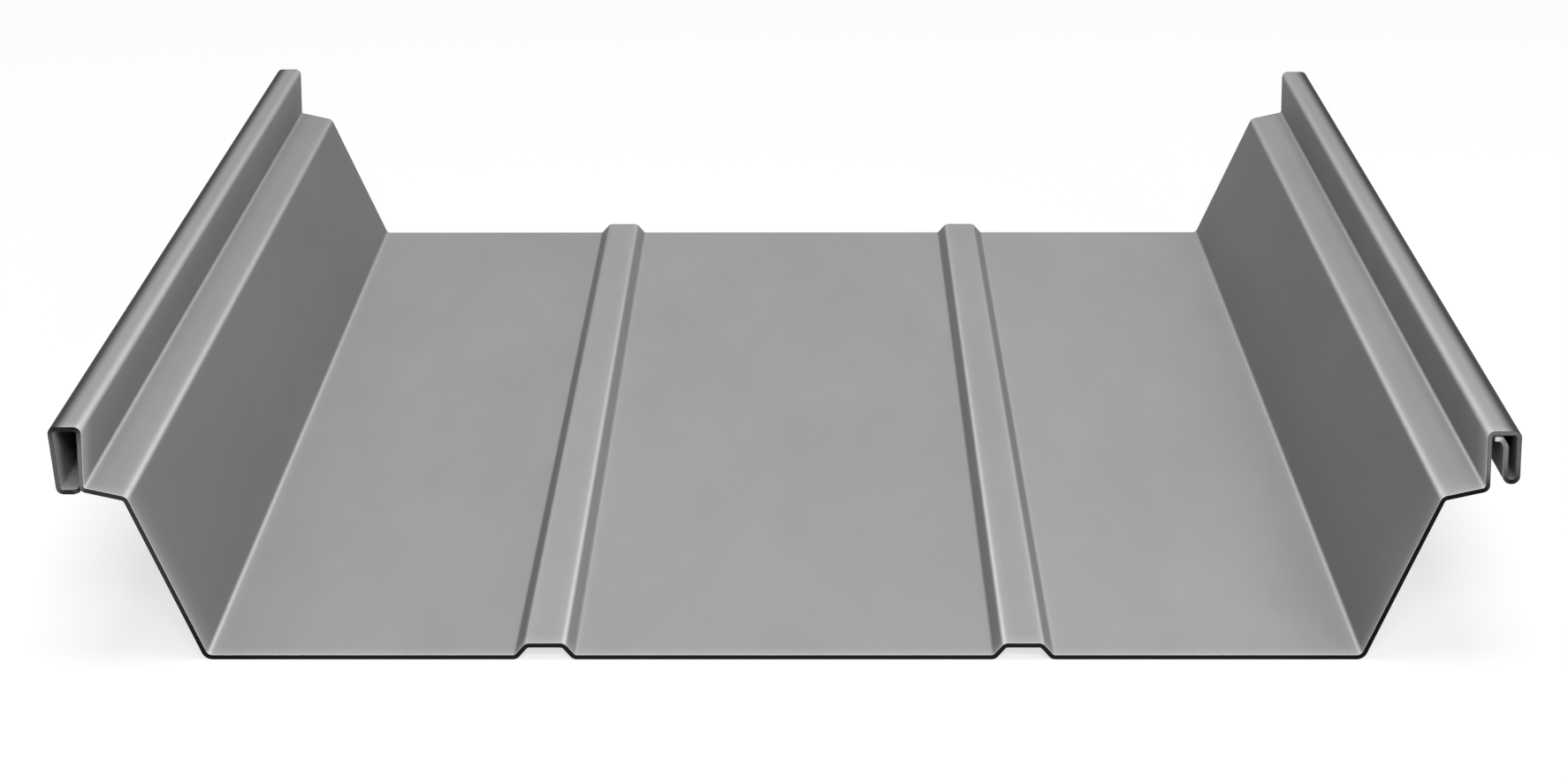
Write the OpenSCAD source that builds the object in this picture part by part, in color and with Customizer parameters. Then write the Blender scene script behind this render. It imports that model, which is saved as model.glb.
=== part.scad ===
// Standing seam roof panel, one short length of roll formed sheet.
// The sheet starts as a nearly closed box seam on the left, comes down to a flat pan
// with two low stiffening ribs, and ends as an open hooked seam on the right.
// Sizes are millimetres. X runs across the panel, Y along it, Z up.
// The origin is under the middle of the pan, on its underside.
// Heights are taken above the pan's top face, widths on the weather side of the sheet.

/* [Sheet] */
// Cover width, from the left seam's outer face to the right seam's web
cover_w = 457.2; // [400:0.2:620]
// Cut length of the panel
length = 610; // [200:1:1200]
// Thickness of the sheet
sheet_t = 1.6; // [1.2:0.1:1.7]

/* [Sides] */
// Angle of the sloping side, from level
slope_angle = 65.5; // [50:0.5:80]
// Height of the top of the sloping side
slope_h = 53; // [40:0.5:54]
// Inside radius of the bend from pan to slope
foot_r = 2.3; // [1:0.1:5]
// Width of the sloping shoulder between the slope and the seam web
shoulder_w = 13.5; // [9:0.5:24]
// Rise of the shoulder towards the web
shoulder_rise = 3; // [1:0.1:4.5]
// Inside radius of the bend from slope to shoulder
shoulder_r = 1.4; // [0.8:0.1:3]

/* [Seams] */
// Outer width of a seam at its top
seam_w = 11.1; // [10.8:0.1:14]
// Height of the left seam
seam_h = 76.2; // [70:0.2:86]
// How much lower the right seam is, so that it tucks under the left one
seam_drop = 1.5; // [0:0.1:3]
// Inside radius of the seam bends
seam_r = 0.9; // [0.6:0.1:1.4]

/* [Left seam] */
// Lean of the outer wall inwards on its way down
wall_lean = 6; // [0:0.5:8]
// How far the underside of the bottom curl is below the foot of the web
curl_drop = 2.3; // [1.8:0.1:3.2]
// Angle by which the free end of the curl turns up
curl_turn = 20; // [5:1:30]
// Length of the turned up end
curl_end = 1.8; // [1.4:0.1:2.4]
// Gap between the free end and the bend of the web
curl_gap = 0.5; // [0.4:0.1:1]

/* [Right seam] */
// Height of the bottom of the hem above the foot of the web
hem_lift = 1; // [0:0.2:4]
// Clear gap inside the hem, between the outer wall and the inner leg
hem_gap = 2.5; // [2.4:0.1:2.7]
// Inside radius of the two bends at the bottom of the hem
hem_r = 1.15; // [0.8:0.05:1.15]
// Depth of the kink in the inner leg below the seam top
kink_drop = 5.4; // [5.2:0.1:6.2]
// Angle of the lip above the kink, from upright
kink_angle = 35; // [20:1:38]
// Gap between the lip and the underside of the seam top
lip_gap = 0.45; // [0.4:0.05:0.7]
// Inside radius of the two bends of the lip
lip_r = 0.4; // [0.3:0.1:0.5]

/* [Pan ribs] */
// Spacing of the two low ribs, centre to centre
rib_pitch = 154; // [80:1:240]
// Width of a rib at its foot
rib_base_w = 19.6; // [17:0.2:26]
// Width of the flat on a rib
rib_top_w = 12.5; // [8:0.5:14]
// Height of a rib
rib_h = 4; // [2:0.5:6]
// Inside radius of the rib bends
rib_r = 1.2; // [0.6:0.1:1.5]

/* [Hidden] */
// Largest turn of one facet on a bend, in degrees
facet_turn = 9;
coated_metal = [0.60, 0.61, 0.62];

// Weather side of the left and right web, and outer face of both seams
web_x = (cover_w - seam_w) / 2;
outer_x = (cover_w + seam_w) / 2;

// Heights from the pan's underside
pan_z = sheet_t;
slope_z = pan_z + slope_h;
foot_z = slope_z + shoulder_rise;
left_z = pan_z + seam_h;
right_z = left_z - seam_drop;

// Half width of the flat pan, and where the slope meets the shoulder
slope_x = web_x - shoulder_w;
pan_x = slope_x - slope_h / tan(slope_angle);

// Bottom curl of the left seam: it ends at an even gap from the round of the web bend
curl_z = foot_z - curl_drop;
shoulder_fall = atan(shoulder_rise / shoulder_w);
bend_c = [-web_x + seam_r, foot_z + seam_r * (1 / cos(shoulder_fall) - tan(shoulder_fall))];
curl_way = [cos(curl_turn), sin(curl_turn)];
curl_side = [-sin(curl_turn), cos(curl_turn)];
curl_reach = seam_r + sheet_t + curl_gap;
curl_down = (bend_c[1] - curl_z - (curl_end + curl_reach) * sin(curl_turn)) / cos(curl_turn);
curl_tip = bend_c - curl_reach * curl_way - curl_down * curl_side;
curl_start = curl_tip - curl_end * curl_way;
wall_foot_x = -outer_x + (left_z - curl_z) * tan(wall_lean);

// Hem and lip of the right seam
hem_z = foot_z + hem_lift;
leg_x = outer_x - hem_gap - 2 * sheet_t;
kink_z = right_z - kink_drop;
lip_z = right_z - 2 * sheet_t - lip_gap;
lip_x = leg_x - (lip_z - kink_z) * tan(kink_angle);
lip_end_x = web_x + sheet_t + max(seam_r, lip_gap);

// Corners of the low ribs, from the left foot to the right foot of one rib
function rib(x) = [
    [[x - rib_base_w / 2, pan_z], rib_r],
    [[x - rib_top_w / 2, pan_z + rib_h], rib_r],
    [[x + rib_top_w / 2, pan_z + rib_h], rib_r],
    [[x + rib_base_w / 2, pan_z], rib_r],
];

// Corners of the weather side of the sheet before bending radii, each with the
// inside radius of its bend, from the left free end to the right free end
left_corners = [
    [curl_tip, 0],
    [curl_start, seam_r],
    [[wall_foot_x, curl_z], seam_r],
    [[-outer_x, left_z], seam_r],
    [[-web_x, left_z], seam_r],
    [[-web_x, foot_z], seam_r],
    [[-slope_x, slope_z], shoulder_r],
    [[-pan_x, pan_z], foot_r],
];
right_corners = [
    [[pan_x, pan_z], foot_r],
    [[slope_x, slope_z], shoulder_r],
    [[web_x, foot_z], seam_r],
    [[web_x, right_z], seam_r],
    [[outer_x, right_z], seam_r],
    [[outer_x, hem_z], hem_r],
    [[leg_x, hem_z], hem_r],
    [[leg_x, kink_z], lip_r],
    [[lip_x, lip_z], lip_r],
    [[lip_end_x, lip_z], 0],
];
corners = concat(left_corners, rib(-rib_pitch / 2), rib(rib_pitch / 2), right_corners);
last = len(corners) - 1;

// Way along the weather side after corner i, its left hand side, and the turn at corner i
function way(i) = (corners[i + 1][0] - corners[i][0]) / norm(corners[i + 1][0] - corners[i][0]);
function left_of(v) = [-v[1], v[0]];
function spin(v, a) = [v[0] * cos(a) - v[1] * sin(a), v[0] * sin(a) + v[1] * cos(a)];
function turn(i) = atan2(cross(way(i - 1), way(i)), way(i - 1) * way(i));

// One bend, drawn at a depth below the weather side: points on an arc about the bend's centre
function bend(i, depth) =
    let(
        a = turn(i),
        s = sign(a),
        r = corners[i][1] + (s > 0 ? 0 : sheet_t),
        n0 = left_of(way(i - 1)),
        centre = corners[i][0] + spin(n0, a / 2) * s * r / cos(a / 2),
        steps = max(2, ceil(abs(a) / facet_turn))
    )
    [for (k = [0:steps]) centre - spin(n0, a * k / steps) * s * (r + s * depth)];

// The whole sheet at one depth, from free end to free end
function face(depth) = concat(
    [corners[0][0] - left_of(way(0)) * depth],
    [for (i = [1:last - 1]) each bend(i, depth)],
    [corners[last][0] - left_of(way(last - 1)) * depth]
);

function backwards(list) = [for (i = [len(list) - 1:-1:0]) list[i]];

// The bent sheet, cut square at both ends
module roof_panel() {
    color(coated_metal)
    translate([0, length / 2, 0])
    rotate([90, 0, 0])
    linear_extrude(height = length)
    polygon(concat(face(0), backwards(face(sheet_t))));
}

roof_panel();
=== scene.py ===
"""Standing seam roof panel: one bent sheet, coated and cut square, on a pale studio floor."""

import logging
import math
from dataclasses import dataclass, field, replace
from enum import Enum

import bpy
import numpy as np
from mathutils import Matrix


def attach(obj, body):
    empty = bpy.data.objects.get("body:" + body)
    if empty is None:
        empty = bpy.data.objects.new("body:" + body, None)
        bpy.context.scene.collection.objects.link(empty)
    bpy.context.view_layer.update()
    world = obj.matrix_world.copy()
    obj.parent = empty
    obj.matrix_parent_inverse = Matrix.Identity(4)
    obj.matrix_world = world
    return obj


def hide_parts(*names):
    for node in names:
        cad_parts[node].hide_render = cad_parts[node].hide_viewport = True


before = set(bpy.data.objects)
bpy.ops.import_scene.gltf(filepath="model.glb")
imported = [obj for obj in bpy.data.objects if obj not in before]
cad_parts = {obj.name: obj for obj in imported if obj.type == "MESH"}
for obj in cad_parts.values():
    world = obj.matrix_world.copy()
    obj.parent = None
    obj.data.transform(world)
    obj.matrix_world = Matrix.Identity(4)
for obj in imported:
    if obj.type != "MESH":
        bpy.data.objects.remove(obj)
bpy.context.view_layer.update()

MM = 0.001
# Length of the panel, in millimetres.
PANEL_LENGTH = 610.0
# Width of the photograph, in pixels.
PHOTO_WIDTH = 1774
LOG = logging.getLogger("roof_panel")
EASED = {"interpolation_type": "SMOOTHSTEP"}
COLOURED = {"data_type": "RGBA"}
TIMES = {"operation": "MULTIPLY"}
TIMES_PLUS = {"operation": "MULTIPLY_ADD"}
# Bands of a noise's values: most of them lie in the first, nearly all in the last.
NOISE_CORE = {"From Min": 0.35, "From Max": 0.65}
NOISE_BODY = {"From Min": 0.3, "From Max": 0.7}
NOISE_ALL = {"From Min": 0.2, "From Max": 0.8}
# A lamp that faces along Y more than this takes Z as the axis to turn its sides by.
NEARLY_ALONG = 0.9


class Side(Enum):
    """The face of the sheet that a polygon belongs to; the value is its material index."""

    WEATHER = 0
    BACK = 1
    CUT = 2


# Colours and nodes


def linear(hex_colour: str) -> tuple[float, float, float, float]:
    """Turns an sRGB hex colour into the linear colour that a shader takes.

    Args:
        hex_colour: Colour such as "#8f9091".

    Returns:
        Red, green, blue in linear light, and alpha 1.
    """
    # The curve and its numbers are the sRGB standard's.
    channels = [int(hex_colour[k : k + 2], 16) / 255 for k in (1, 3, 5)]
    curve = [c / 12.92 if c <= 0.04045 else ((c + 0.055) / 1.055) ** 2.4 for c in channels]
    return (*curve, 1.0)


def add_node(
    tree: bpy.types.NodeTree,
    kind: str,
    settings: dict[str, object] | None = None,
    inputs: dict[str | int, object] | None = None,
) -> bpy.types.Node:
    """Adds one node with its settings, its values and its links.

    Args:
        tree: Node tree that gets the node.
        kind: Blender's name of the node type.
        settings: Properties of the node itself.
        inputs: Values or output sockets for its inputs, by input name or number.

    Returns:
        The new node.
    """
    node = tree.nodes.new(kind)
    for name, value in (settings or {}).items():
        setattr(node, name, value)
    for name, value in (inputs or {}).items():
        if isinstance(value, bpy.types.NodeSocket):
            tree.links.new(value, node.inputs[name])
        else:
            node.inputs[name].default_value = value
    return node


def new_material(name: str) -> tuple[bpy.types.Material, bpy.types.NodeTree]:
    """Makes an empty node material.

    Args:
        name: Name of the finish.

    Returns:
        The material and its cleared node tree.
    """
    material = bpy.data.materials.new(name)
    material.use_nodes = True
    material.node_tree.nodes.clear()
    return material, material.node_tree


# Finishes


@dataclass(frozen=True)
class EndMark:
    """A band along one cut end of the sheet, for painted light at the near end and for a painted dark line
    at the far end.

    Attributes:
        sign: 1 at the near end, -1 at the far one.
        reach_mm: How far in from the end it dies out.
        share: Its strength at the end, from 0 to 1.
    """

    sign: int
    reach_mm: float
    share: float


@dataclass(frozen=True)
class SatinCoilCoat:
    """Weather side: polyester coil coating on aluminium, rolled on and oven cured before forming.

    It gives an even matt to satin grey with a faint cloudiness stretched out along the sheet.
    Over it lie painted light and shade: painted shade on the flats, most on the slopes and rib
    flanks, and in strips beside the bends; painted highlights on the bends and painted light along
    the near sheared end; a painted dark rim on the outer corners of the seams; and a painted dark
    line along the far sheared end. Of the two shares for the bend highlights and for the strips
    beside the bends, the first is for the near end and the second for the far one.
    """

    name: str = "satin_grey_coil_coating"
    colour: str = "#a1a1a1"
    cloud_colour: str = "#9e9e9e"
    # Colours of painted light and shade: highlight on the bends, dark rim on the seams' outer corners,
    # shade on flats and beside bends, light at the near end, a dark line at the far end.
    bend_highlight_colour: str = "#dddddd"
    rim_shade_colour: str = "#2a2a2a"
    drawn_colour: str = "#4f4f4f"
    end_light_colour: str = "#d7d7d7"
    far_end_shade_colour: str = "#3a3a3a"
    roughness: float = 0.56
    roughness_swing: float = 0.03
    specular: float = 0.02
    cloud_mm: tuple[float, float] = (45.0, 170.0)
    # Size and least share of the patches that break up the painted light.
    light_patch_mm: float = 9.0
    least_light_share: float = 0.85
    peel_mm: float = 1.6
    peel_height_mm: float = 0.02
    peel_strength: float = 0.08
    half_length_m: float = PANEL_LENGTH / 2 * MM
    # Painted light at the near end: a light line, a fade and a wider band; and a painted dark line at the
    # far end.
    end_line: EndMark = EndMark(1, 1.4, 0.25)
    end_fade: EndMark = EndMark(1, 9.0, 0.16)
    end_light_band: EndMark = EndMark(1, 21.0, 1.0)
    # Painted dark line along the far end.
    far_end_shade: EndMark = EndMark(-1, 2.2, 0.7)
    # Shares of the painted bend highlights and of the painted shade beside bends, at the near end and at
    # the far end.
    highlight_shares: tuple[float, float] = (1.06, 0.4)
    bend_shade_shares: tuple[float, float] = (1.08, 0.5)

    def build(self) -> bpy.types.Material:
        """Builds the material.

        Returns:
            The finish of the weather side.
        """
        material, tree = new_material(self.name)
        place = add_node(tree, "ShaderNodeTexCoord").outputs["Object"]
        # The coating line drew the clouds out along the sheet.
        wide, long = (1 / (size * MM) for size in self.cloud_mm)
        drawn_out = add_node(
            tree, "ShaderNodeMapping", {}, {"Vector": place, "Scale": (wide, long, wide)}
        ).outputs["Vector"]
        clouds = add_node(
            tree,
            "ShaderNodeTexNoise",
            {},
            {"Vector": drawn_out, "Scale": 1.0, "Detail": 4.0, "Roughness": 0.68},
        ).outputs["Fac"]
        cloud_share = add_node(
            tree, "ShaderNodeMapRange", EASED, {"Value": clouds, **NOISE_CORE}
        ).outputs["Result"]

        # The painted highlights on the bends and the painted light at the near end are patchy.
        light_patches = add_node(
            tree,
            "ShaderNodeTexNoise",
            {},
            {"Vector": place, "Scale": 1 / (self.light_patch_mm * MM), "Detail": 3.0, "Roughness": 0.55},
        ).outputs["Fac"]
        uneven = add_node(
            tree,
            "ShaderNodeMapRange",
            EASED,
            {"Value": light_patches, **NOISE_ALL, "To Min": self.least_light_share},
        ).outputs["Result"]

        along = add_node(tree, "ShaderNodeSeparateXYZ", {}, {"Vector": place}).outputs["Y"]
        ends = []
        for mark in (self.end_line, self.end_fade, self.end_light_band, self.far_end_shade):
            inward = add_node(
                tree, "ShaderNodeMath", TIMES_PLUS, {0: along, 1: mark.sign, 2: self.half_length_m}
            ).outputs[0]
            ends.append(
                add_node(
                    tree,
                    "ShaderNodeMapRange",
                    EASED,
                    {
                        "Value": inward,
                        "From Max": mark.reach_mm * MM,
                        "To Min": mark.share,
                        "To Max": 0.0,
                    },
                ).outputs["Result"]
            )
        end_line, end_fade, end_reach, edge_shade = ends
        # These attributes carry painted shade and light: shade on flats and in strips beside bends,
        # highlights on the bends, a dark rim on the seams' outer corners, and light at the near end.
        drawn, bend_shade, bend_highlight, rim_shade, end_lit = (
            add_node(tree, "ShaderNodeAttribute", {"attribute_name": name}).outputs["Fac"]
            for name in ("drawn", "bend_shade", "bend_highlight", "rim_shade", "end_lit")
        )
        # Painted light along the near end: a line, a fade and a band set per flat.
        near_end_light = add_node(
            tree, "ShaderNodeMath", {"operation": "ADD"}, {0: end_line, 1: end_fade}
        ).outputs[0]
        near_end_light = add_node(
            tree, "ShaderNodeMath", TIMES_PLUS, {0: end_lit, 1: end_reach, 2: near_end_light}
        ).outputs[0]
        # Painted bend highlights and painted shade beside bends fade from the near end to the far one.
        highlight_bearing, bend_shade_bearing = (
            add_node(
                tree,
                "ShaderNodeMapRange",
                {},
                {
                    "Value": along,
                    "From Min": -self.half_length_m,
                    "From Max": self.half_length_m,
                    "To Min": near_share,
                    "To Max": far_share,
                },
            ).outputs["Result"]
            for near_share, far_share in (self.highlight_shares, self.bend_shade_shares)
        )
        bend_highlight = add_node(tree, "ShaderNodeMath", TIMES, {0: bend_highlight, 1: highlight_bearing}).outputs[0]
        # Painted shade: strips beside bends, fading toward the far end, on top of the painted shade of each
        # flat.
        dark = add_node(
            tree, "ShaderNodeMath", TIMES_PLUS, {0: bend_shade, 1: bend_shade_bearing, 2: drawn}
        ).outputs[0]
        patchy_end_light, patchy_highlight = (
            add_node(tree, "ShaderNodeMath", TIMES, {0: share, 1: uneven}).outputs[0]
            for share in (near_end_light, bend_highlight)
        )
        # Over the coat's colour go its clouds, then painted shade, painted light at the near end, a painted
        # dark line at the far end, painted bend highlights and a painted dark rim.
        body = linear(self.colour)
        for share, colour in (
            (cloud_share, self.cloud_colour),
            (dark, self.drawn_colour),
            (patchy_end_light, self.end_light_colour),
            (edge_shade, self.far_end_shade_colour),
            (patchy_highlight, self.bend_highlight_colour),
            (rim_shade, self.rim_shade_colour),
        ):
            body = add_node(
                tree, "ShaderNodeMix", COLOURED, {0: share, 6: body, 7: linear(colour)}
            ).outputs[2]

        rough = add_node(
            tree,
            "ShaderNodeMapRange",
            EASED,
            {
                "Value": clouds,
                **NOISE_BODY,
                "To Min": self.roughness - self.roughness_swing,
                "To Max": self.roughness + self.roughness_swing,
            },
        ).outputs["Result"]
        peel = add_node(
            tree,
            "ShaderNodeTexNoise",
            {},
            {"Vector": place, "Scale": 1 / (self.peel_mm * MM), "Detail": 2.0},
        ).outputs["Fac"]
        bump = add_node(
            tree,
            "ShaderNodeBump",
            {},
            {"Strength": self.peel_strength, "Distance": self.peel_height_mm * MM, "Height": peel},
        ).outputs["Normal"]
        shader = add_node(
            tree,
            "ShaderNodeBsdfPrincipled",
            {},
            {
                "Base Color": body,
                "Roughness": rough,
                "Normal": bump,
                "IOR": 1.5,
                "Specular IOR Level": self.specular,
                "Metallic": 0.0,
            },
        ).outputs["BSDF"]
        add_node(tree, "ShaderNodeOutputMaterial", {}, {"Surface": shader})
        return material


@dataclass(frozen=True)
class BackerCoat:
    """Underside: thin grey wash coat over aluminium, flatter and a little darker than the coating.

    It is rolled on along the sheet, so it is faintly streaky. It has painted light near both
    ends, and painted shade inside the hem of the right seam.
    """

    name: str = "grey_backer_coat"
    colour: str = "#8d8d8d"
    streak_colour: str = "#848484"
    # Painted light near both ends, and painted shade inside the right seam's hem.
    end_light_colour: str = "#e0e0e0"
    recess_shade_colour: str = "#161616"
    roughness: float = 0.55
    specular: float = 0.1
    streak_mm: tuple[float, float] = (2.0, 120.0)
    half_length_m: float = PANEL_LENGTH / 2 * MM
    # Reach and strength of the painted light at both ends.
    end_light_mm: float = 26.0
    end_light_share: float = 0.35

    def build(self) -> bpy.types.Material:
        """Builds the material.

        Returns:
            The finish of the underside.
        """
        material, tree = new_material(self.name)
        sheet = add_node(tree, "ShaderNodeUVMap", {"uv_map": "sheet"}).outputs["UV"]
        wide, long = self.streak_mm
        stretched = add_node(
            tree,
            "ShaderNodeMapping",
            {},
            {"Vector": sheet, "Scale": (1 / (wide * MM), 1 / (long * MM), 1.0)},
        ).outputs["Vector"]
        streaks = add_node(
            tree, "ShaderNodeTexNoise", {}, {"Vector": stretched, "Scale": 1.0, "Detail": 3.0}
        ).outputs["Fac"]
        share = add_node(
            tree, "ShaderNodeMapRange", EASED, {"Value": streaks, **NOISE_CORE}
        ).outputs["Result"]
        along = add_node(tree, "ShaderNodeSeparateXYZ", {}, {"Vector": sheet}).outputs["Y"]
        # Painted light near both ends.
        off_middle = add_node(
            tree, "ShaderNodeMath", {"operation": "ABSOLUTE"}, {0: along}
        ).outputs[0]
        end_light_share = add_node(
            tree,
            "ShaderNodeMapRange",
            EASED,
            {
                "Value": off_middle,
                "From Min": self.half_length_m - self.end_light_mm * MM,
                "From Max": self.half_length_m,
                "To Max": self.end_light_share,
            },
        ).outputs["Result"]
        # Painted shade inside the right seam's hem.
        recess_shade = add_node(tree, "ShaderNodeAttribute", {"attribute_name": "recess_shade"}).outputs["Fac"]
        body = linear(self.colour)
        for mix, colour in (
            (share, self.streak_colour),
            (end_light_share, self.end_light_colour),
            (recess_shade, self.recess_shade_colour),
        ):
            body = add_node(
                tree, "ShaderNodeMix", COLOURED, {0: mix, 6: body, 7: linear(colour)}
            ).outputs[2]
        shader = add_node(
            tree,
            "ShaderNodeBsdfPrincipled",
            {},
            {
                "Base Color": body,
                "Roughness": self.roughness,
                "IOR": 1.5,
                "Specular IOR Level": self.specular,
                "Metallic": 0.0,
            },
        ).outputs["BSDF"]
        add_node(tree, "ShaderNodeOutputMaterial", {}, {"Surface": shader})
        return material


@dataclass(frozen=True)
class ShearedEdge:
    """Cut ends: bare aluminium sheared after coating, coloured with painted shade and painted light.

    An attribute of the sheet sets how lit each part of the edge is painted: painted shade makes the
    pan and slopes nearly black and the upright walls of the seams greyer, and painted light makes the
    end of the inner lip pale. Near some bends painted shade darkens the cut further. A fine grain
    speckles it. It is lighter in the middle of its thickness and darker along both skins.
    """

    name: str = "sheared_aluminium_edge"
    # Colours of the painted shade on the cut, of the painted light on it, and of its skins.
    edge_shade: str = "#161616"
    cut_lit_colour: str = "#d6d6d6"
    skin: str = "#121212"
    roughness: float = 0.5
    grain_mm: float = 0.5
    speckle: tuple[float, float] = (0.85, 1.15)
    skin_depths: tuple[float, float] = (0.03, 0.2)
    skin_share: float = 0.6

    def build(self) -> bpy.types.Material:
        """Builds the material.

        Returns:
            The finish of the cut ends and slit edges.
        """
        material, tree = new_material(self.name)
        place = add_node(tree, "ShaderNodeTexCoord").outputs["Object"]
        # How lit each part of the cut is painted: low values give painted shade, 1 gives painted light.
        clean = add_node(tree, "ShaderNodeAttribute", {"attribute_name": "clean"}).outputs["Fac"]
        grain = add_node(
            tree,
            "ShaderNodeTexNoise",
            {},
            {"Vector": place, "Scale": 1 / (self.grain_mm * MM), "Detail": 2.0},
        ).outputs["Fac"]
        least, most = self.speckle
        speckle = add_node(
            tree,
            "ShaderNodeMapRange",
            EASED,
            {"Value": grain, **NOISE_BODY, "To Min": least, "To Max": most},
        ).outputs["Result"]
        clean = add_node(tree, "ShaderNodeMath", TIMES, {0: clean, 1: speckle}).outputs[0]
        depth = add_node(tree, "ShaderNodeAttribute", {"attribute_name": "depth"}).outputs["Fac"]
        beyond = add_node(
            tree, "ShaderNodeMath", {"operation": "SUBTRACT"}, {0: 1.0, 1: depth}
        ).outputs[0]
        from_skin = add_node(
            tree, "ShaderNodeMath", {"operation": "MINIMUM"}, {0: depth, 1: beyond}
        ).outputs[0]
        shallow, deep = self.skin_depths
        skin_share = add_node(
            tree,
            "ShaderNodeMapRange",
            EASED,
            {
                "Value": from_skin,
                "From Min": shallow,
                "From Max": deep,
                "To Min": self.skin_share,
                "To Max": 0.0,
            },
        ).outputs["Result"]
        body = linear(self.edge_shade)
        for mix, colour in ((clean, self.cut_lit_colour), (skin_share, self.skin)):
            body = add_node(
                tree, "ShaderNodeMix", COLOURED, {0: mix, 6: body, 7: linear(colour)}
            ).outputs[2]
        shader = add_node(
            tree,
            "ShaderNodeBsdfPrincipled",
            {},
            {"Base Color": body, "Roughness": self.roughness, "Metallic": 1.0},
        ).outputs["BSDF"]
        add_node(tree, "ShaderNodeOutputMaterial", {}, {"Surface": shader})
        return material


# The sheet


@dataclass(frozen=True)
class Corner:
    """One corner of the section before it is rounded, on the weather side, in millimetres.

    Attributes:
        x: Place across the panel.
        z: Height.
        radius: Inside radius of the bend.
        bend_highlight: Strength of the painted highlight along this bend, from 0 to 1.
        spread: Half width of that painted highlight.
        rim_shade: Strength of the painted dark rim over this bend's outer side, from 0 to 1.
        clean: Painted light of the cut edge of the flat after this corner, from 0 (dark) to 1.
        drawn: Painted shade on the coating of the flat after this corner, from 0 to 1.
        bend_shade: Painted shade in a strip beside this bend, on top of that, from 0 to 1.
        reach: Half width of that strip.
        end_lit: Painted light near the near end of the flat after this corner, from 0 to 1.
        cut_shade: How far painted shade darkens the cut edge within that reach, from 0 to 1.
        recess_shade: Painted shade on the back coat of the flat after this corner, from 0 to 1.
    """

    x: float
    z: float
    radius: float = 0.0
    # From here on the fields set painted highlights and painted shade, and their widths.
    bend_highlight: float = 0.0
    spread: float = 1.0
    rim_shade: float = 0.0
    clean: float = 0.012
    drawn: float = 0.0
    bend_shade: float = 0.0
    reach: float = 20.0
    end_lit: float = 0.0
    cut_shade: float = 0.0
    recess_shade: float = 0.0


@dataclass(frozen=True)
class SheetPath:
    """Stations along the section, from the left free end to the right one, in millimetres.

    Attributes:
        point: Points on the weather side, N by 2.
        normal: Unit normals out of the weather side, N by 2.
        run: Developed distance along the middle of the sheet, N.
        flat: Place within a flat from 0 to 1, or -1 in a bend, N.
        width: Width of the flat that the station is in, or 0 in a bend, N.
        marks: Share of each mark at each station, by the name of its attribute, N each.
    """

    point: np.ndarray
    normal: np.ndarray
    run: np.ndarray
    flat: np.ndarray
    width: np.ndarray
    marks: dict[str, np.ndarray]


def spin(v: np.ndarray, a: np.ndarray | float) -> np.ndarray:
    """Turns plane vectors by an angle.

    Args:
        v: Vectors, any number by 2.
        a: Angle in radians, one or one for each vector.

    Returns:
        The turned vectors.
    """
    c, s = np.cos(a), np.sin(a)
    return np.stack([v[..., 0] * c - v[..., 1] * s, v[..., 0] * s + v[..., 1] * c], -1)


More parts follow.
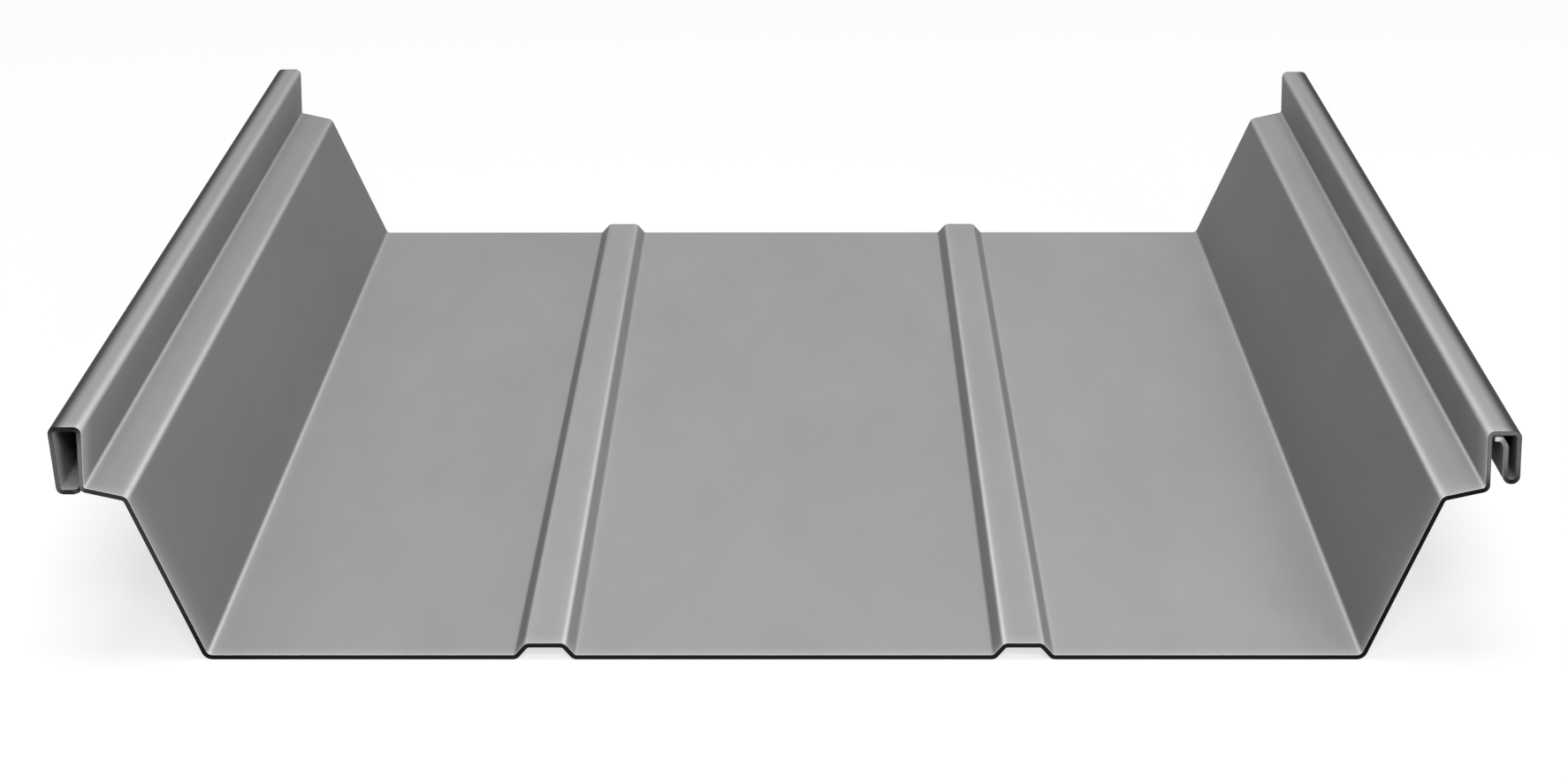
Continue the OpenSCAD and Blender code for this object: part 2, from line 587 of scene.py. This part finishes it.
@dataclass(frozen=True)
class SheetSection:
    """Section of the bent sheet, with the sizes of the CAD model, in millimetres and degrees.

    Attributes:
        bend_steps: Fewest flats in a bend.
        beside_bend: Places of the stations beside a bend, up to beside_share of the flat's width.
        beside_gap: Share of the width that the even stations keep away from those.
        halo: Share of a bend's painted highlight in its faint wide copy, halo_width times as wide.
        level_from: Upward share of the normal where a face starts to count as level.
        level_over: Growth of that share until it counts as wholly level.
        slope_bend_shade: Share of a strip of painted shade beside a bend that is left on slopes and walls.
        rim_shade_profile: The painted dark rim from its outer side inward: share of the bend's arc and
            distance,
        both from the inner end of the bend, and strength there.
    """

    cover_w: float = 457.2
    sheet_t: float = 1.6
    slope_angle: float = 65.5
    slope_h: float = 53.0
    foot_r: float = 2.3
    shoulder_w: float = 13.5
    shoulder_rise: float = 3.0
    shoulder_r: float = 1.4
    seam_w: float = 11.1
    seam_h: float = 76.2
    seam_drop: float = 1.5
    seam_r: float = 0.9
    wall_lean: float = 6.0
    curl_drop: float = 2.3
    curl_turn: float = 20.0
    curl_end: float = 1.8
    curl_gap: float = 0.5
    hem_lift: float = 1.0
    hem_gap: float = 2.5
    hem_r: float = 1.15
    kink_drop: float = 5.4
    kink_angle: float = 35.0
    lip_gap: float = 0.45
    lip_r: float = 0.4
    rib_pitch: float = 154.0
    rib_base_w: float = 19.6
    rib_top_w: float = 12.5
    rib_h: float = 4.0
    rib_r: float = 1.2
    bend_steps: int = 4
    beside_bend: tuple[float, ...] = (0.3, 0.8, 1.5, 2.5, 4.0)
    beside_share: float = 0.4
    beside_gap: float = 0.02
    # Widths and shares of the painted highlights, the painted shade beside bends and the painted dark rim.
    halo: float = 0.16
    halo_width: float = 3.5
    level_from: float = 0.55
    level_over: float = 0.3
    slope_bend_shade: float = 0.45
    rim_shade_profile: tuple[tuple[float, float, float], ...] = (
        (-1.0, -3.0, 0.0),
        (-1.0, 0.0, 0.45),
        (-0.62, 0.0, 1.0),
        (-0.4, 0.0, 1.0),
        (0.0, 0.0, 0.93),
        (0.0, 0.7, 0.72),
        (0.0, 1.4, 0.44),
        (0.0, 2.1, 0.17),
        (0.0, 2.8, 0.0),
    )

    def seam_box(self, foot_z: float, web: float, outer: float) -> list[Corner]:
        """Corners of the left seam: the turned up end of its curl, its floor, wall and top.

        The curl's end stops the curl gap short of the round under the web: a line through the
        round's centre at the curl's angle meets the floor's corner after the end's own length.

        Args:
            foot_z: Height of the web's foot.
            web: Distance of both webs from the middle.
            outer: Distance of both outer walls from the middle.

        Returns:
            The corners from the free end to the web's top.
        """
        top_z = self.sheet_t + self.seam_h
        floor_z = foot_z - self.curl_drop
        fall = math.atan(self.shoulder_rise / self.shoulder_w)
        rise = math.radians(self.curl_turn)
        centre_z = foot_z + self.seam_r * (1 / math.cos(fall) - math.tan(fall))
        reach = self.seam_r + self.sheet_t + self.curl_gap
        down = (centre_z - floor_z - (self.curl_end + reach) * math.sin(rise)) / math.cos(rise)
        tip_x = -web + self.seam_r - reach * math.cos(rise) + down * math.sin(rise)
        tip_z = centre_z - reach * math.sin(rise) - down * math.cos(rise)
        start_x = tip_x - self.curl_end * math.cos(rise)
        start_z = tip_z - self.curl_end * math.sin(rise)
        wall_foot = -outer + (top_z - floor_z) * math.tan(math.radians(self.wall_lean))
        # Besides the shape, these corners set painted light and shade: a dark rim, highlights, shade on
        # flats and how lit each cut edge is painted.
        return [
            Corner(tip_x, tip_z, clean=0.08),
            Corner(start_x, start_z, self.seam_r, clean=0.028),
            Corner(wall_foot, floor_z, self.seam_r, clean=0.156),
            # Painted dark rim on the outer corner of the seam's top; painted shade on the top and on the
            # cut near it.
            Corner(
                -outer, top_z, self.seam_r, rim_shade=1.0, clean=0.028, drawn=0.19, reach=3.5, cut_shade=0.5
            ),
            Corner(
                -web,
                top_z,
                self.seam_r,
                bend_highlight=0.56,
                spread=1.15,
                clean=0.25,
                drawn=0.14,
                reach=4.5,
                end_lit=0.5,
                cut_shade=0.7,
            ),
        ]

    def seam_hem(self, foot_z: float, web: float, outer: float) -> list[Corner]:
        """Corners of the right seam: its top, wall and hem, and its inner leg with the kinked lip.

        Args:
            foot_z: Height of the web's foot.
            web: Distance of both webs from the middle.
            outer: Distance of both outer walls from the middle.

        Returns:
            The corners from the web's top to the free end.
        """
        top_z = self.sheet_t + self.seam_h - self.seam_drop
        hem_z = foot_z + self.hem_lift
        leg = outer - self.hem_gap - 2 * self.sheet_t
        kink_z = top_z - self.kink_drop
        lip_z = top_z - 2 * self.sheet_t - self.lip_gap
        lip_x = leg - (lip_z - kink_z) * math.tan(math.radians(self.kink_angle))
        lip_end = web + self.sheet_t + max(self.seam_r, self.lip_gap)
        # Besides the shape, these corners set painted light and shade: a dark rim, highlights, shade on
        # flats and how lit each cut edge is painted.
        return [
            Corner(web, top_z, self.seam_r, bend_highlight=0.72, spread=1.2, clean=0.233, drawn=0.15),
            # Painted dark rim on the outer corner of the seam's top; painted shade in the hem below.
            Corner(outer, top_z, self.seam_r, rim_shade=1.0, clean=0.18, recess_shade=0.45),
            Corner(outer, hem_z, self.hem_r, clean=0.05, reach=3.2, cut_shade=0.5, recess_shade=0.45),
            Corner(
                leg, hem_z, self.hem_r, clean=0.31, drawn=0.3, reach=6.0, cut_shade=0.75, recess_shade=0.45
            ),
            Corner(leg, kink_z, self.lip_r, clean=0.34),
            Corner(lip_x, lip_z, self.lip_r, clean=1.0),
            Corner(lip_end, lip_z),
        ]

    def ribs(self) -> list[Corner]:
        """Corners of the two low ribs: flanks with painted shade, tops' bends with painted highlights.

        Returns:
            The corners from left to right.
        """
        foot, top = self.rib_base_w / 2, self.rib_top_w / 2
        low, high = self.sheet_t, self.sheet_t + self.rib_h
        half = self.rib_pitch / 2
        # Painted shade on the rib flanks, stronger on the left flanks, and painted highlights on the tops'
        # bends.
        return [
            Corner(middle + x, z, self.rib_r, bend_highlight=bend_highlight, spread=0.7, drawn=drawn)
            for middle, left_rub, right_rub in ((-half, 0.33, 0.73), (half, 0.88, 0.38))
            for x, z, bend_highlight, drawn in (
                (-foot, low, 0.0, 0.67),
                (-top, high, left_rub, 0.02),
                (top, high, right_rub, 0.46),
                (foot, low, 0.15, 0.05 if middle < 0 else 0.0),
            )
        ]

    def corners(self) -> list[Corner]:
        """Works out all corners of the section.

        Returns:
            The corners from the left free end to the right one.
        """
        web = (self.cover_w - self.seam_w) / 2
        outer = (self.cover_w + self.seam_w) / 2
        slope_z = self.sheet_t + self.slope_h
        foot_z = slope_z + self.shoulder_rise
        slope_x = web - self.shoulder_w
        pan_x = slope_x - self.slope_h / math.tan(math.radians(self.slope_angle))
        # Besides the shape, these corners set painted light and shade: highlights, shade on flats and
        # beside bends, light at the near end, and how lit each cut edge is painted.
        web_foot = Corner(
            -web,
            foot_z,
            self.seam_r,
            bend_highlight=0.75,
            spread=0.7,
            clean=0.045,
            drawn=0.225,
            bend_shade=0.07,
            reach=5.0,
        )
        shoulder = Corner(
            -slope_x, slope_z, self.shoulder_r, bend_highlight=0.75, clean=0.052, drawn=0.46, end_lit=0.12
        )
        pan_edge = Corner(
            -pan_x, self.sheet_t, self.foot_r, bend_highlight=0.66, spread=0.62, drawn=0.1, bend_shade=0.12, cut_shade=0.9
        )
        left = [web_foot, shoulder, pan_edge]
        right = [
            replace(
                pan_edge, x=pan_x, bend_highlight=0.6, clean=0.004, drawn=0.5, bend_shade=0.22, reach=19.0, end_lit=0.04
            ),
            replace(shoulder, x=slope_x, bend_highlight=0.84, clean=0.004, drawn=0.08, end_lit=0.0),
            replace(
                web_foot,
                x=web,
                bend_highlight=0.88,
                clean=0.25,
                drawn=0.14,
                bend_shade=0.09,
                reach=3.5,
                end_lit=0.45,
                cut_shade=0.85,
            ),
        ]
        return [
            *self.seam_box(foot_z, web, outer),
            *left,
            *self.ribs(),
            *right,
            *self.seam_hem(foot_z, web, outer),
        ]

    def flat_shares(self, span: float, flat_step: float) -> np.ndarray:
        """Places the stations of one flat.

        Args:
            span: Width of the flat.
            flat_step: Largest distance between two stations.

        Returns:
            Shares of the flat's width, close together beside the bends and even between them.
        """
        near = np.array([d for d in self.beside_bend if d < self.beside_share * span])
        even = np.linspace(0, 1, max(2, math.ceil(span / flat_step)) + 1)[1:-1]
        if len(near):
            clear = near[-1] / span + self.beside_gap
            even = even[(even > clear) & (even < 1 - clear)]
        return np.concatenate([near / span, even, 1 - near[::-1] / span])

    def forming_marks(
        self, corners: list[Corner], skin: np.ndarray, bend_of: np.ndarray, rise: np.ndarray
    ) -> dict[str, np.ndarray]:
        """Works out the painted light and shade at each station.

        What a corner says of its flat is blended over the bends. A bend's painted highlight is rubbed
        times exp(-(d / spread)^2), where d is the way along the skin to the bend's middle, and a faint
        wide copy of that where the sheet is level. Its strip of painted shade is dulled times
        exp(-(d / reach)^2), weaker on slopes and walls, and fouled darkens the cut edge by the same
        curve. The painted dark rim covers its bend's arc and dies out 3 mm past it outward and 2.8 mm
        inward.
        What several bends do at one station adds up, to 1 at most.

        Args:
            corners: The corners of the section.
            skin: Way along the weather side at each station.
            bend_of: Number of the bend that each station is in, or -1 on a flat.
            rise: Upward share of the normal at each station.

        Returns:
            Share of each mark at each station, from 0 to 1, by the name of its attribute.
        """
        bends = [skin[bend_of == k] for k in range(len(corners) - 2)]
        stops = np.concatenate([[0.0], *(bend[[0, -1]] for bend in bends), [skin[-1]]])
        marks = {
            name: np.interp(skin, stops, np.repeat([getattr(c, name) for c in corners[:-1]], 2))
            for name in ("clean", "drawn", "end_lit", "recess_shade")
        }
        marks |= {name: np.zeros(len(skin)) for name in ("bend_shade", "bend_highlight", "rim_shade")}
        level = np.clip((rise - self.level_from) / self.level_over, 0, 1)
        bend_shade_share = self.slope_bend_shade + (1 - self.slope_bend_shade) * level
        arcs, past, strength = np.array(self.rim_shade_profile).T
        # Each bend adds its painted highlight, its strip of painted shade, painted shade on the cut edge
        # and its painted dark rim.
        for c, bend in zip(corners[1:-1], bends):
            away = skin - (bend[0] + bend[-1]) / 2
            near, wide, strip = (
                np.exp(-((away / width) ** 2))
                for width in (c.spread, self.halo_width * c.spread, c.reach)
            )
            marks["bend_highlight"] += c.bend_highlight * (near + self.halo * level * wide)
            marks["bend_shade"] += c.bend_shade * bend_shade_share * strip
            marks["clean"] *= 1 - c.cut_shade * strip
            if c.rim_shade:
                inward = skin - bend[-1] if c.x < 0 else bend[0] - skin
                places = arcs * np.ptp(bend) + past
                marks["rim_shade"] += c.rim_shade * np.interp(inward, places, strength)
        return {name: np.clip(mark, 0, 1) for name, mark in marks.items()}

    def path(self, turn_step: float, flat_step: float) -> SheetPath:
        """Lays stations along the section.

        At a corner with turn a, the bend is an arc about the point on the corner's bisector at
        r / cos(a / 2), and its points are that centre less the turning normal times r. On a flat
        the points are a blend of its two ends.

        Args:
            turn_step: Largest turn between two stations of a bend, in degrees.
            flat_step: Largest distance between two stations of a flat.

        Returns:
            The stations.
        """
        corners = self.corners()
        corner = np.array([(c.x, c.z) for c in corners])
        way = np.diff(corner, axis=0)
        way /= np.linalg.norm(way, axis=1)[:, None]
        left = np.stack([-way[:, 1], way[:, 0]], 1)
        cross = way[:-1, 0] * way[1:, 1] - way[:-1, 1] * way[1:, 0]
        turn = np.arctan2(cross, (way[:-1] * way[1:]).sum(1))
        sign = np.sign(turn)
        r = np.array([c.radius for c in corners[1:-1]]) + np.where(sign > 0, 0.0, self.sheet_t)
        centre = corner[1:-1] + spin(left[:-1], turn / 2) * (sign * r / np.cos(turn / 2))[:, None]
        bends = []
        for k, a in enumerate(turn):
            steps = max(self.bend_steps, math.ceil(abs(math.degrees(a)) / turn_step))
            share = np.linspace(0, 1, steps + 1)
            n = spin(np.broadcast_to(left[k], (len(share), 2)), share * a)
            bends.append((centre[k] - sign[k] * r[k] * n, n))

        pieces = []
        starts = [corner[0]] + [b[0][-1] for b in bends]
        ends = [b[0][0] for b in bends] + [corner[-1]]
        for k, (a, b) in enumerate(zip(starts, ends)):
            span = float(np.linalg.norm(b - a))
            share = self.flat_shares(span, flat_step)
            if k == 0:
                share = np.concatenate([[0.0], share])
            if k == len(way) - 1:
                share = np.concatenate([share, [1.0]])
            n = np.broadcast_to(left[k], (len(share), 2))
            line = a + share[:, None] * (b - a)
            pieces.append((line, n, share, np.full(len(n), span), np.full(len(n), -1)))
            if k < len(bends):
                arc, n = bends[k]
                none = np.zeros(len(n))
                pieces.append((arc, n, none - 1, none, np.full(len(n), k)))
        point, normal, flat, width, bend_of = (np.concatenate(part) for part in zip(*pieces))
        run, skin = (
            np.concatenate([[0], np.cumsum(np.linalg.norm(np.diff(line, axis=0), axis=1))])
            for line in (point - normal * self.sheet_t / 2, point)
        )
        marks = self.forming_marks(corners, skin, bend_of, normal[:, 1])
        return SheetPath(point, normal, run, flat, width, marks)


@dataclass
class RoofPanel:
    """The panel: its section carried along its length, with rolled over ends and faint waves.

    Attributes:
        section: The sheet's section.
        length: Length along Y, in millimetres like all sizes here.
        turn_step: Largest turn between two stations of a bend, in degrees.
        flat_step: Largest distance between two stations of a flat.
        row_step: Largest distance between two rows.
        end_rows: Places of the rows just before the rounding of each end.
        rollover: Radius that the shear gave the weather side's end.
        burr: Radius that it left at the underside's end.
        wave: Height of the waves.
        wave_end: Way from a cut end over which they grow.
        wavy_widths: Widths of the flats where they begin and where they are whole.
        wave_set: Their sines: strength, length along, length across, phase.
        finishes: Weather side, underside and cut, in the order of Side.
    """

    section: SheetSection = field(default_factory=SheetSection)
    length: float = PANEL_LENGTH
    turn_step: float = 9.0
    flat_step: float = 9.0
    row_step: float = 12.0
    end_rows: tuple[float, ...] = (3.0, 1.2)
    rollover: float = 0.14
    burr: float = 0.03
    wave: float = 0.08
    wave_end: float = 40.0
    wavy_widths: tuple[float, float] = (30.0, 60.0)
    wave_set: tuple[tuple[float, float, float, float], ...] = (
        (1.0, 620.0, 149.0, 0.7),
        (0.7, 410.0, -103.0, 2.1),
        (0.5, 290.0, 71.0, 4.0),
    )
    finishes: tuple[SatinCoilCoat, BackerCoat, ShearedEdge] = (
        SatinCoilCoat(),
        BackerCoat(),
        ShearedEdge(),
    )

    def rows(self) -> np.ndarray:
        """Places the rows along Y: even, and close together at the rounded ends.

        Returns:
            The rows in rising order.
        """
        half = self.length / 2
        turn = np.radians(np.linspace(0, 90, 4))
        near = np.concatenate([self.end_rows, self.rollover * (1 - np.sin(turn))])
        inner = np.linspace(-half, half, math.ceil(self.length / self.row_step) + 1)[1:-1]
        return np.unique(np.round(np.concatenate([-half + near, inner, half - near]), 6))

    def waves(self, path: SheetPath, y: np.ndarray) -> np.ndarray:
        """Faint unevenness of the broad flats.

        The lift is wave * w * (1 + s) / 2. Here w is the squared sine of the place across the flat,
        times a share that grows from 0 to 1 between the two wavy widths and one that dies out at
        the cut ends, and s is the mean of the slow sines of the place along and across, each
        weighed by its strength.

        Args:
            path: The stations.
            y: Rows, in millimetres.

        Returns:
            Lift out of the weather side in millimetres, rows by stations.
        """
        across = np.where(path.flat < 0, 0, np.sin(np.pi * np.clip(path.flat, 0, 1)) ** 2)
        none, whole = self.wavy_widths
        across = across * np.clip((path.width - none) / (whole - none), 0, 1)
        along = np.clip((self.length / 2 - np.abs(y)) / self.wave_end, 0, 1)
        u, v = path.run[None, :], y[:, None]
        s = sum(
            strength * np.sin(2 * np.pi * (v / long + u / wide) + phase)
            for strength, long, wide, phase in self.wave_set
        ) / sum(strength for strength, *_ in self.wave_set)
        return self.wave * (along**2 * (3 - 2 * along))[:, None] * across[None, :] * (1 + s) / 2

    def rounding(self, y: np.ndarray, radius: float) -> np.ndarray:
        """Depth that a quarter circle takes off the sheet's skin at the cut ends.

        Args:
            y: Rows, in millimetres.
            radius: Radius of the rounding.

        Returns:
            Depths, one a row, as a column.
        """
        inside = np.clip(radius - (self.length / 2 - np.abs(y)), 0, radius)
        return (radius - np.sqrt(np.maximum(radius**2 - inside**2, 0)))[:, None]

    def build(self) -> bpy.types.Object:
        """Builds the mesh: a ring of points on both skins in each row, closed by cut faces.

        A point is the station's point less its normal times a depth. The depth is 0 or the sheet's
        thickness, and at the ends it follows a quarter circle of the rollover's or burr's radius.

        Returns:
            The finished piece, riding on the root body.
        """
        path = self.section.path(self.turn_step, self.flat_step)
        y = self.rows()
        n, m = len(path.point), len(y)
        lift = self.waves(path, y)
        top = (self.rounding(y, self.rollover) - lift)[..., None]
        low = (self.section.sheet_t - self.rounding(y, self.burr) - lift)[..., None]
        weather = path.point[None] - path.normal[None] * top
        back = path.point[None] - path.normal[None] * low
        ring = np.concatenate([weather, back[:, ::-1]], 1)
        loop = 2 * n
        verts = np.empty((m, loop, 3))
        verts[..., 0], verts[..., 2] = ring[..., 0], ring[..., 1]
        verts[..., 1] = y[:, None]
        verts = verts.reshape(-1, 3) * MM

        row, col = np.meshgrid(np.arange(m - 1), np.arange(loop), indexing="ij")
        this, after, nxt = row * loop, (row + 1) * loop, (col + 1) % loop
        skin = np.stack([this + col, this + nxt, after + nxt, after + col], -1).reshape(-1, 4)
        side = np.where(col < n - 1, Side.WEATHER.value, Side.BACK.value)
        side = np.where((col == n - 1) | (col == loop - 1), Side.CUT.value, side).reshape(-1)
        k = np.arange(n - 1)
        near = np.stack([k, loop - 1 - k, loop - 2 - k, k + 1], -1)
        far = near[:, ::-1] + (m - 1) * loop
        faces = np.concatenate([skin, near, far])
        kind = np.concatenate([side, np.full(2 * (n - 1), Side.CUT.value)])

        mesh = bpy.data.meshes.new("formed_sheet")
        mesh.vertices.add(len(verts))
        mesh.vertices.foreach_set("co", verts.astype(np.float32).ravel())
        mesh.loops.add(faces.size)
        mesh.loops.foreach_set("vertex_index", faces.astype(np.int32).ravel())
        mesh.polygons.add(len(faces))
        mesh.polygons.foreach_set(
            "loop_start", np.arange(0, faces.size, faces.shape[1], dtype=np.int32)
        )
        mesh.polygons.foreach_set("material_index", kind.astype(np.int32))
        mesh.polygons.foreach_set("use_smooth", np.ones(len(faces), bool))
        mesh.update(calc_edges=True)

        run = np.concatenate([path.run, path.run[::-1]])
        uv = np.stack([np.tile(run, m) * MM, np.repeat(y, loop) * MM], 1)[faces.ravel()]
        mesh.uv_layers.new(name="sheet").data.foreach_set("uv", uv.astype(np.float32).ravel())
        # The painted light and shade of the section go onto each point as attributes for the finishes.
        marks = {name: np.concatenate([mark, mark[::-1]]) for name, mark in path.marks.items()}
        marks["depth"] = np.repeat([0.0, 1.0], n)
        for name, mark in marks.items():
            layer = mesh.attributes.new(name, "FLOAT", "POINT")
            layer.data.foreach_set("value", np.tile(mark, m).astype(np.float32))
        self.sharpen(mesh, kind)
        mesh.validate()

        panel = bpy.data.objects.new("formed_sheet", mesh)
        bpy.context.scene.collection.objects.link(panel)
        for finish in self.finishes:
            mesh.materials.append(finish.build())
        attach(panel, "root")
        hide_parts("roof_panel")
        return panel

    @staticmethod
    def sharpen(mesh: bpy.types.Mesh, kind: np.ndarray) -> None:
        """Marks the edges between a coated and a cut face sharp, so that each shades by itself.

        Args:
            mesh: The panel's mesh.
            kind: Material index of each face.
        """
        edge_of_loop = np.empty(len(mesh.loops), np.int32)
        mesh.loops.foreach_get("edge_index", edge_of_loop)
        cut = np.repeat(kind == Side.CUT.value, len(mesh.loops) // len(kind))
        touched_cut = np.zeros(len(mesh.edges), bool)
        touched_skin = np.zeros(len(mesh.edges), bool)
        touched_cut[edge_of_loop[cut]] = True
        touched_skin[edge_of_loop[~cut]] = True
        sharp = mesh.attributes.get("sharp_edge")
        sharp = sharp or mesh.attributes.new("sharp_edge", "BOOLEAN", "EDGE")
        sharp.data.foreach_set("value", touched_cut & touched_skin)


# The studio


def shown_to_eye(tree: bpy.types.NodeTree, lit: float, shown: float) -> bpy.types.NodeSocket:
    """Gives one strength to the light that falls on things and another to what is seen.

    Args:
        tree: Node tree of the floor or the surroundings.
        lit: Strength for the light that falls on things.
        shown: Strength where a camera, a gloss or a glass looks.

    Returns:
        Socket with the strength.
    """
    seen = add_node(tree, "ShaderNodeLightPath").outputs
    looks = seen["Is Camera Ray"]
    for ray in ("Is Glossy Ray", "Is Transmission Ray"):
        looks = add_node(
            tree, "ShaderNodeMath", {"operation": "MAXIMUM"}, {0: looks, 1: seen[ray]}
        ).outputs[0]
    return add_node(
        tree, "ShaderNodeMapRange", {}, {"Value": looks, "To Min": lit, "To Max": shown}
    ).outputs["Result"]


@dataclass(frozen=True)
class SoftLamp:
    """One area lamp that no camera sees.

    Attributes:
        name: Name of the lamp.
        place: Where it hangs, in metres.
        target: The point that it faces, in metres.
        size: Width and length, in metres.
        watts: Power.
        spread: Full angle of its light, in degrees.
    """

    name: str
    place: tuple[float, float, float]
    target: tuple[float, float, float]
    size: tuple[float, float]
    watts: float
    spread: float = 180.0

    def build(self) -> bpy.types.Object:
        """Hangs the lamp.

        Returns:
            The lamp object.
        """
        data = bpy.data.lights.new(self.name, "AREA")
        data.shape = "RECTANGLE"
        data.size, data.size_y = self.size
        data.energy = self.watts
        data.spread = math.radians(self.spread)
        lamp = bpy.data.objects.new(self.name, data)
        bpy.context.scene.collection.objects.link(lamp)
        place, target = np.array(self.place), np.array(self.target)
        forward = (target - place) / np.linalg.norm(target - place)
        axis = (0.0, 1.0, 0.0) if abs(forward[1]) < NEARLY_ALONG else (0.0, 0.0, 1.0)
        side = np.cross(forward, axis)
        side /= np.linalg.norm(side)
        turn = Matrix(np.stack([side, np.cross(side, forward), -forward], 1).tolist())
        lamp.matrix_world = Matrix.Translation(self.place) @ turn.to_4x4()
        lamp.visible_camera = False
        lamp.visible_glossy = False
        return lamp


@dataclass(frozen=True)
class PaleFloor:
    """Pale matt studio floor: it takes the panel's shadow and shows white around it.

    Attributes:
        size: Length of its sides, in metres.
        colour: Colour for the light that falls on it.
        shown: Glow that only a camera or a gloss sees.
    """

    size: float = 40.0
    colour: str = "#9c9c9c"
    shown: float = 0.69

    def build(self) -> bpy.types.Object:
        """Lays the floor.

        Returns:
            The floor.
        """
        half = self.size / 2
        mesh = bpy.data.meshes.new("studio_floor")
        corners = [(-half, -half, 0), (half, -half, 0), (half, half, 0), (-half, half, 0)]
        mesh.from_pydata(corners, [], [(0, 1, 2, 3)])
        floor = bpy.data.objects.new("studio_floor", mesh)
        bpy.context.scene.collection.objects.link(floor)
        material, tree = new_material("matt_white_floor")
        glow = add_node(
            tree, "ShaderNodeEmission", {}, {"Strength": shown_to_eye(tree, 0.0, self.shown)}
        ).outputs[0]
        matt = add_node(
            tree, "ShaderNodeBsdfDiffuse", {}, {"Color": linear(self.colour)}
        ).outputs[0]
        both = add_node(tree, "ShaderNodeAddShader", {}, {0: matt, 1: glow}).outputs[0]
        add_node(tree, "ShaderNodeOutputMaterial", {}, {"Surface": both})
        mesh.materials.append(material)
        return floor


@dataclass(frozen=True)
class Camera:
    """Camera at the photograph's place, in millimetres, radians and photograph pixels.

    Attributes:
        focal_px: Distance from the lens to the picture, in pixels of the photograph.
        place: Where it stands.
        pitch: Turn down from level.
        yaw: Turn to the right.
        roll: Turn about its own line of sight.
        sensor_mm: Width of the sensor.
        clip_m: Nearest and farthest distance that it shows, in metres.
    """

    focal_px: float = 4850.0
    place: tuple[float, float, float] = (7.98, -1615.2, 439.9)
    pitch: float = 0.2616
    yaw: float = -0.0060
    roll: float = -0.0019
    sensor_mm: float = 36.0
    clip_m: tuple[float, float] = (0.05, 100.0)

    def build(self) -> bpy.types.Object:
        """Places the camera and makes it the scene's.

        Returns:
            The camera object.
        """
        data = bpy.data.cameras.new("studio_camera")
        data.sensor_fit = "HORIZONTAL"
        data.sensor_width = self.sensor_mm
        data.lens = self.focal_px / PHOTO_WIDTH * data.sensor_width
        data.clip_start, data.clip_end = self.clip_m
        forward = np.array(
            [
                math.sin(self.yaw) * math.cos(self.pitch),
                math.cos(self.yaw) * math.cos(self.pitch),
                -math.sin(self.pitch),
            ]
        )
        level = np.array([math.cos(self.yaw), -math.sin(self.yaw), 0.0])
        up = np.cross(level, forward)
        right = level * math.cos(self.roll) + up * math.sin(self.roll)
        up = up * math.cos(self.roll) - level * math.sin(self.roll)
        camera = bpy.data.objects.new("studio_camera", data)
        bpy.context.scene.collection.objects.link(camera)
        turn = Matrix(np.stack([right, up, -forward], 1).tolist())
        camera.matrix_world = Matrix.Translation([c * MM for c in self.place]) @ turn.to_4x4()
        bpy.context.scene.camera = camera
        return camera


@dataclass
class Studio:
    """Pale floor, soft lamps, surroundings and camera.

    The two low strips light the outer sides, which the photograph doesn't show. They stand far out
    and low, so that they add next to nothing to the sides that it does show.
    """

    floor: PaleFloor = field(default_factory=PaleFloor)
    camera: Camera = field(default_factory=Camera)
    lamps: tuple[SoftLamp, ...] = (
        SoftLamp("overhead_softbox", (0.0, 0.1, 4.9), (0.0, 0.0, 0.0), (3.0, 3.4), 146.5),
        SoftLamp("front_softbox", (0.05, -4.5, 2.75), (0.0, 0.0, 0.03), (1.6, 1.6), 169.5),
        SoftLamp("right_front_fill", (1.3, -2.1, 0.9), (0.0, 0.0, 0.03), (1.2, 1.0), 15.5),
        SoftLamp("left_low_strip", (-4.0, 0.0, 0.08), (0.0, 0.0, 0.06), (0.12, 1.4), 2.9, 50.0),
        SoftLamp("right_low_strip", (4.0, 0.0, 0.08), (0.0, 0.0, 0.06), (0.12, 1.4), 2.8, 50.0),
    )
    ambient: float = 0.093

    def build_world(self) -> None:
        """Sets the surroundings: a soft grey light, and white where a camera or a gloss looks."""
        world = bpy.data.worlds.new("studio_surroundings")
        bpy.context.scene.world = world
        world.use_nodes = True
        tree = world.node_tree
        tree.nodes.clear()
        strength = shown_to_eye(tree, self.ambient, 1.0)
        light = add_node(
            tree, "ShaderNodeBackground", {}, {"Color": (1, 1, 1, 1), "Strength": strength}
        ).outputs[0]
        add_node(tree, "ShaderNodeOutputWorld", {}, {"Surface": light})

    def build(self) -> None:
        """Builds the whole studio."""
        self.floor.build()
        self.build_world()
        for lamp in self.lamps:
            lamp.build()
        self.camera.build()
        bpy.context.scene.view_settings.view_transform = "Standard"


def main() -> None:
    """Builds the panel and the studio, and reports each piece."""
    logging.basicConfig(level=logging.INFO, format="%(name)s: %(message)s")
    panel = RoofPanel().build()
    LOG.info("%s has %d faces", panel.name, len(panel.data.polygons))
    Studio().build()


if __name__ == "__main__":
    main()
